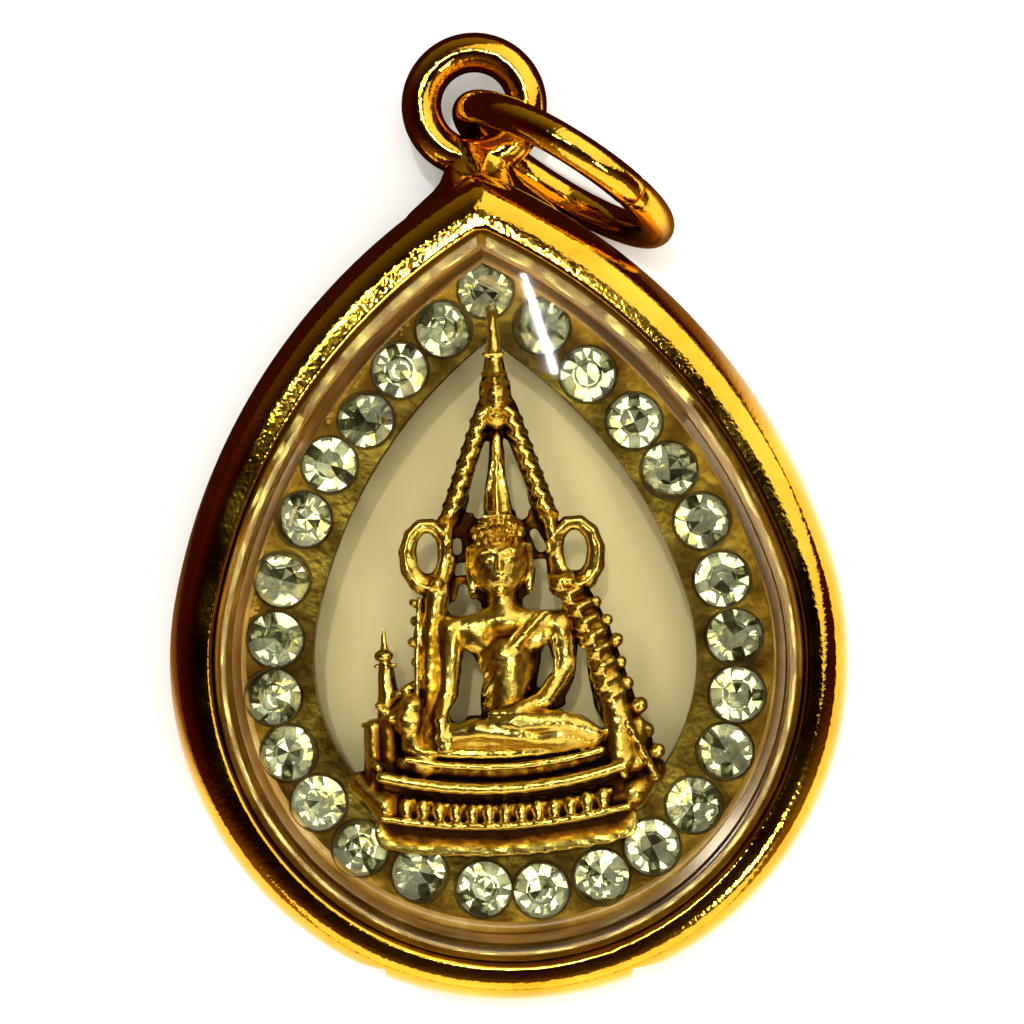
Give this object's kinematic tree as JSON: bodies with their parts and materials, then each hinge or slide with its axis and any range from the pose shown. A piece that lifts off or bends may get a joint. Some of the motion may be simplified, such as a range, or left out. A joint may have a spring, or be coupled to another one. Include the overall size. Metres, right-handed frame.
{
  "type": "amulet pendant in a clear case",
  "caption": "Teardrop pendant: a polished gilt band round a clear case, with a stone-set plate and a pierced cast seated figure inside, and a jump ring in its eye.",
  "frame": {"origin": "on the middle of the bounding box of the whole pendant in plan, at the flat back face it lies on", "axes": "+Z is the front, out of the clear window; +Y runs along the pendant to its eye; the case is symmetric about X = 0"},
  "size_m": [0.0224, 0.0321, 0.0085],
  "materials": {
    "gilt_case": "polished gold plate",
    "clear_acrylic": "clear, polished",
    "gilt_plate": "satin, worn gold plate",
    "gilt_cast": "bright gold-plated casting with dark hollows",
    "crystal": "clear cut crystal"
  },
  "bodies": {
    "case": {"frame": "gilt_case", "case_back": "clear_acrylic", "case_front": "clear_acrylic", "setting_ring": "gilt_plate", "figure": "gilt_cast", "stone_01": "crystal", "stone_02": "crystal", "stone_03": "crystal", "stone_04": "crystal", "stone_05": "crystal", "stone_06": "crystal", "stone_07": "crystal", "stone_08": "crystal", "stone_09": "crystal", "stone_10": "crystal", "stone_11": "crystal", "stone_12": "crystal", "stone_13": "crystal", "stone_14": "crystal", "stone_15": "crystal", "stone_16": "crystal", "stone_17": "crystal", "stone_18": "crystal", "stone_19": "crystal", "stone_20": "crystal", "stone_21": "crystal", "stone_22": "crystal", "stone_23": "crystal", "stone_24": "crystal", "stone_25": "crystal", "stone_26": "crystal", "stone_27": "crystal"},
    "jump_ring": {"jump_ring": "gilt_case"}
  },
  "joints": [
    {"name": "ring_swing", "type": "hinge", "parent": "case", "child": "jump_ring", "pos_m": [0, 0.01362, 0.004], "axis": [0, 0, 1], "range_deg": [0, 251]}
  ]
}
